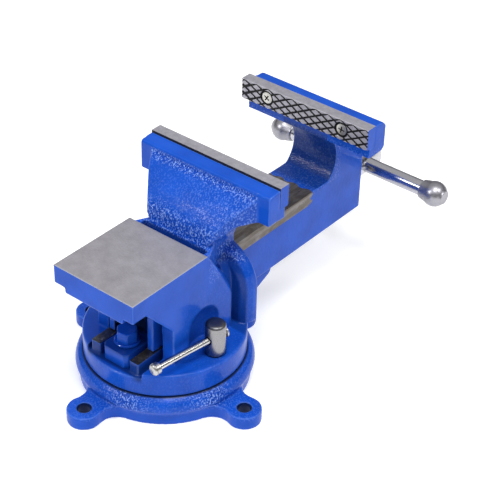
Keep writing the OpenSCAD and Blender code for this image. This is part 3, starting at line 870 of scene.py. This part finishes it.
def tube(name, path, radius, materials, count=16):
    """A round wire along a path, with closed ends."""
    path = [Vector(p) for p in path]
    verts = []
    side = None
    for i, p in enumerate(path):
        ahead = (path[min(i + 1, len(path) - 1)] - path[max(i - 1, 0)]).normalized()
        side = ahead.orthogonal() if side is None else side - ahead * side.dot(ahead)
        side = side.normalized()
        up = ahead.cross(side)
        for k in range(count):
            a = 2 * math.pi * k / count
            verts.append(p + radius * (math.cos(a) * side + math.sin(a) * up))
    return piece(name, verts, ring_faces(len(path), count), materials, 60)


def make_spring():
    low, high = box_mm("return_spring")
    wire = 1.0
    mean = (high[0] - low[0]) / 2 - wire
    turns, per_turn = 5, 48
    steps = turns * per_turn
    span = high[1] - low[1] - 2 * wire
    path = []
    for i in range(steps + 1):
        a = 2 * math.pi * i / per_turn
        y = low[1] + wire + span * i / steps
        path.append((mean * math.cos(a), y, SCREW_Z + mean * math.sin(a)))
    coil = tube("return_spring_wire", path, wire * 0.97, [SPRING_STEEL])
    place_piece(coil, "screw", "spring_steel", "return_spring")


def make_cotter():
    low, high = box_mm("cotter_pin")
    y = (low[1] + high[1]) / 2
    leg = [(0, y, low[2] + 0.6)]
    eye = [(0, 5), (0, 3.9), (0.7, 3.1), (1.0, 2.0), (0.6, 1.1), (0, 0.8), (-0.6, 1.1),
           (-1.0, 2.0), (-0.7, 3.1)]
    path = leg + [(x, y, high[2] - drop) for x, drop in eye]
    pin = tube("cotter_pin_wire", path, 0.8, [MACHINED], 12)
    place_piece(pin, "screw", "machined_steel", "cotter_pin")


def make_handle():
    """The bar, and a ball with a rolled lip and a turned end on each side."""
    length = BAR_HIGH[0] - BAR_LOW[0]
    bar = lathe("handle_bar_rod", [
        (BAR_R - 0.6, 0), (BAR_R, 0.6), (BAR_R, length - 0.6), (BAR_R - 0.6, length)],
        (BAR_LOW[0], BAR_Y, SCREW_Z), (1, 0, 0), [BAR_STEEL])
    place_piece(bar, "handle", "polished_steel", "handle_bar")
    for side, hand in ((-1, "left"), (1, "right")):
        node = "handle_knob_" + hand
        low, high = box_mm(node)
        ball = (high[2] - low[2]) / 2
        outer = high[0] if side > 0 else -low[0]
        centre = outer - (ball - 0.8)
        neck = outer - (high[0] - low[0])
        start = centre - neck
        lip = BAR_R + 1.5
        profile = [(BAR_R + 0.05, 0.3), (lip - 0.5, 0.0), (lip, 0.5), (lip + 0.2, 1.8),
                   (lip + 0.7, 3.2)]
        first = math.pi - math.asin(min(1, (lip + 1.3) / ball))
        last = 0.62
        for i in range(17):
            a = first + (last - first) * i / 16
            profile.append((ball * math.sin(a), start + ball * math.cos(a)))
        end = start + ball - 0.8
        flat_r = ball * math.sin(last)
        profile += [(flat_r - 0.5, end - 0.25), (flat_r - 1.1, end), (flat_r - 1.8, end - 0.12),
                    (0.5, end - 0.12)]
        profile = [(r, min(h, end)) for r, h in profile]
        knob = lathe("handle_ball_" + hand, profile, (side * neck, BAR_Y, SCREW_Z),
                     (side, 0, 0), [BALL_STEEL])
        place_piece(knob, "handle", "polished_steel", node)


# ---------------------------------------------------------------- nut bolt and swivel locks

def make_nut_bolt():
    """A hexagon head with rounded corners on top, and its shank."""
    low, high = box_mm("lead_nut_bolt")
    washer_top = box_mm("lead_nut_washer")[1][2]
    x = (low[0] + high[0]) / 2
    y = (low[1] + high[1]) / 2
    top = high[2]
    radius = (high[0] - low[0]) / 2
    verts = []
    count = 48
    levels = ((1.0, washer_top), (1.0, top - 1.3), (0.93, top - 0.5), (0.84, top))
    for r_cut, z in levels:
        for k in range(count):
            a = 2 * math.pi * k / count
            sector = (a - math.radians(12)) % (math.pi / 3) - math.pi / 6
            flat = radius * 0.87 / math.cos(sector)
            r = min(flat, radius * r_cut if r_cut < 1 else flat)
            verts.append((x + r * math.cos(a), y + r * math.sin(a), z))
    head = piece("nut_bolt_head", verts, ring_faces(len(levels), count), [ENAMEL], 30)
    shank = lathe("nut_bolt_shank", [(BOLT_R, low[2]), (BOLT_R, washer_top)], (x, y, 0),
                  (0, 0, 1), [MACHINED])
    both = join("nut_bolt_hex", [head, shank])
    finish_mesh(both.data, 30)
    place_piece(both, "body", "blue_enamel", "lead_nut_bolt")


# The place of each lock along X, and the turn of its bar from +Y.
LOCKS = {"left": (-50.0, math.radians(8.4)), "right": (50.0, math.radians(150))}
LOCK_BAR_LONG = 57.6
LOCK_BAR_SHORT = -9.9
LOCK_KNOB_AT = 57.1
LOCK_HEAD_T = 1.5
LOCK_MOUTH = 0.9
LOCK_MOUTH_DEPTH = 2.2
STUD_FOOT_R = 6.95


def make_lock(side):
    """A swivel lock: its round nut, the bar with a knob and a thin head, and its stud."""
    nut_x, turn = LOCKS[side]
    direction = (math.sin(turn), math.cos(turn), 0)
    low, high = box_mm("lock_nut_" + side)
    radius = (high[0] - low[0]) / 2
    height = high[2] - low[2]
    bar_low, bar_high = box_mm("lock_bar_" + side)
    bar_z = (bar_low[2] + bar_high[2]) / 2
    bar_r = (bar_high[2] - bar_low[2]) / 2
    knob_low, knob_high = box_mm("lock_knobs_" + side)
    knob_r = (knob_high[2] - knob_low[2]) / 2

    def along(distance):
        return nut_x + direction[0] * distance, direction[1] * distance, bar_z

    nut = lathe("lock_nut_turned_" + side, [
        (radius - 0.4, 0), (radius, 0.4), (radius, height - 2.6), (radius - 0.25, height - 1.8),
        (radius - 0.9, height - 0.9), (radius - 2.2, height - 0.35), (radius - 4.5, height - 0.08),
        (0.6, height)], (nut_x, 0, low[2]), (0, 0, 1), [NUT_STEEL, NUT_TOP], count=72, angle=25)
    drill(nut, bar_r + 0.1, (nut_x, 0, bar_z), direction, 3 * radius)
    drill(nut, bar_r + LOCK_MOUTH, along(2 * radius), direction, 2 * (radius + LOCK_MOUTH_DEPTH))
    # Faces near the top take the darker copy: painted shade on the nut's top.
    for p in nut.data.polygons:
        p.material_index = 1 if p.center.z / MM > low[2] + height - 1.7 else 0
    place_piece(nut, side + "_nut", "turned_steel", "lock_nut_" + side)
    bar = lathe("lock_bar_rod_" + side, [
        (bar_r - 0.3, LOCK_BAR_SHORT), (bar_r, LOCK_BAR_SHORT + 0.3),
        (bar_r, LOCK_BAR_LONG - 0.3), (bar_r - 0.3, LOCK_BAR_LONG)],
        (nut_x, 0, bar_z), direction, [LOCK_BAR_STEEL], count=40)
    place_piece(bar, side + "_lever", "polished_steel", "lock_bar_" + side)
    knob = lathe("knob", [
        (bar_r + 0.05, -2.4), (knob_r - 0.5, -2.4), (knob_r, -1.9), (knob_r, 1.3),
        (knob_r - 0.5, 1.5), (knob_r - 0.5, 1.9), (knob_r, 2.1), (knob_r - 0.3, 2.8),
        (knob_r - 1.2, 3.5), (knob_r - 2.4, 3.8), (0.5, 3.8)],
        along(LOCK_KNOB_AT), direction, [KNOB_STEEL], count=40)
    head = lathe("head", ring_profile(knob_r, bar_r + 0.02, LOCK_HEAD_T, 0.25),
                 along(LOCK_BAR_SHORT), direction, [KNOB_STEEL], closed_ring=True, count=40)
    both = join("lock_knob_pair_" + side, [knob, head])
    finish_mesh(both.data, 30)
    place_piece(both, side + "_lever", "polished_steel", "lock_knobs_" + side)
    low, high = box_mm("lock_bolt_" + side)
    bolt = lathe("lock_bolt_stud_" + side, [
        (STUD_FOOT_R - 0.35, low[2]), (STUD_FOOT_R, low[2] + 0.4), (STUD_FOOT_R, low[2] + 5.4),
        (STUD_FOOT_R - 0.35, low[2] + 5.8), (BOLT_R, low[2] + 5.8), (BOLT_R, high[2] - 0.6),
        (BOLT_R - 0.6, high[2])], (nut_x, 0, 0), (0, 0, 1), [MACHINED])
    place_piece(bolt, "body", "machined_steel", "lock_bolt_" + side)


# ---------------------------------------------------------------- stage, light and camera

CAMERA_AT = (-0.6170, 0.6842, 0.7674)
CAMERA_TO = (-0.03256, -0.06031, 0.09501)
CAMERA_ROLL = math.radians(1.79)
CAMERA_LENS = 110.46
FLOOR_HALF = 6000
FLOOR_Z = -0.05
SOFTBOXES = (
    ("top_softbox", (-0.40, 0.25, 1.5), 0.70, 13.0),
    ("side_softbox", (-0.88, -0.34, 1.08), 0.26, 4.0),
    ("left_softbox", (0.48, 0.92, 0.90), 0.20, 5.5),
)


def look_at(place, target, roll=0.0):
    """A matrix at the place that looks at the target, turned by roll round the line of sight."""
    back = (Vector(place) - Vector(target)).normalized()
    right = Vector((0, 0, 1)).cross(back).normalized()
    up = back.cross(right)
    r = math.cos(roll) * right + math.sin(roll) * up
    u = math.cos(roll) * up - math.sin(roll) * right
    m = Matrix((r, u, back)).transposed().to_4x4()
    m.translation = Vector(place)
    return m


def make_camera():
    data = bpy.data.cameras.new("camera")
    data.sensor_width = 36
    data.lens = CAMERA_LENS
    data.clip_start = 0.01
    data.clip_end = 50
    camera = link(bpy.data.objects.new("camera", data))
    camera.matrix_world = look_at(CAMERA_AT, CAMERA_TO, CAMERA_ROLL)
    bpy.context.scene.camera = camera


def make_lights():
    """Square softboxes aimed at the middle of the vise."""
    for name, place, size, power in SOFTBOXES:
        data = bpy.data.lights.new(name, "AREA")
        data.shape = "RECTANGLE"
        data.size = data.size_y = size
        data.energy = power
        lamp = link(bpy.data.objects.new(name, data))
        lamp.matrix_world = look_at(place, (0, 0, 0.08))


def make_floor():
    """A plain pale floor."""
    verts = [(sx * FLOOR_HALF, sy * FLOOR_HALF, FLOOR_Z)
             for sx, sy in ((-1, -1), (1, -1), (1, 1), (-1, 1))]
    m, tree, shader = material("floor_white")
    cloud = noise_of(tree, coordinates(tree), 0.004, 2)
    white = ramp(tree, cloud, [(0.3, (0.93,) * 3), (0.7, (0.95,) * 3)])
    tree.links.new(white, shader.inputs["Base Color"])
    shader.inputs["Roughness"].default_value = 0.9
    shader.inputs["Specular IOR Level"].default_value = 0.1
    shader.inputs["Emission Color"].default_value = (1, 1, 1, 1)
    shader.inputs["Emission Strength"].default_value = 0.30
    floor = piece("floor", verts, [(0, 1, 2, 3)], [m])


def make_sky():
    """A studio, pale above and below, with a dark band just above the horizon."""
    world = bpy.data.worlds.new("studio")
    bpy.context.scene.world = world
    world.use_nodes = True
    tree = world.node_tree
    background = tree.nodes["Background"]
    coord = tree.nodes.new("ShaderNodeTexCoord")
    split = tree.nodes.new("ShaderNodeSeparateXYZ")
    tree.links.new(coord.outputs["Generated"], split.inputs["Vector"])
    height = math_node(tree, "MULTIPLY_ADD", split.outputs["Z"], 0.5)
    height.node.inputs[2].default_value = 0.5
    sky = ramp(tree, height, [
        (0.48, (0.85, 0.85, 0.85)), (0.52, (0.06, 0.06, 0.08)), (0.63, (0.14, 0.14, 0.17)),
        (0.76, (0.95, 0.95, 0.97)), (1.0, (1.0, 1.0, 1.0))])
    tree.links.new(sky, background.inputs["Color"])
    background.inputs["Strength"].default_value = 0.60


bpy.context.scene.view_settings.view_transform = "Standard"
make_body()
make_moving_jaw()
make_base()
make_lead_nut()
make_plate("moving_plate_face", "moving_jaw_plate", "slide", MOVING_PLATE, 1)
make_plate("fixed_plate_face", "fixed_jaw_plate", "body", FIXED_PLATE, -1)
make_plate_screws("moving_plate_cross_screws", "moving_jaw_screws", "slide",
                  MOVING_PLATE[1][1], 1, MOVING_PLATE[1][2])
make_plate_screws("fixed_plate_cross_screws", "fixed_jaw_screws", "body",
                  FIXED_PLATE[0][1], -1, FIXED_PLATE[1][2])
make_lead_screw()
make_washers()
make_spring()
make_cotter()
make_handle()
make_nut_bolt()
make_lock("left")
make_lock("right")
make_floor()
make_sky()
make_lights()
make_camera()
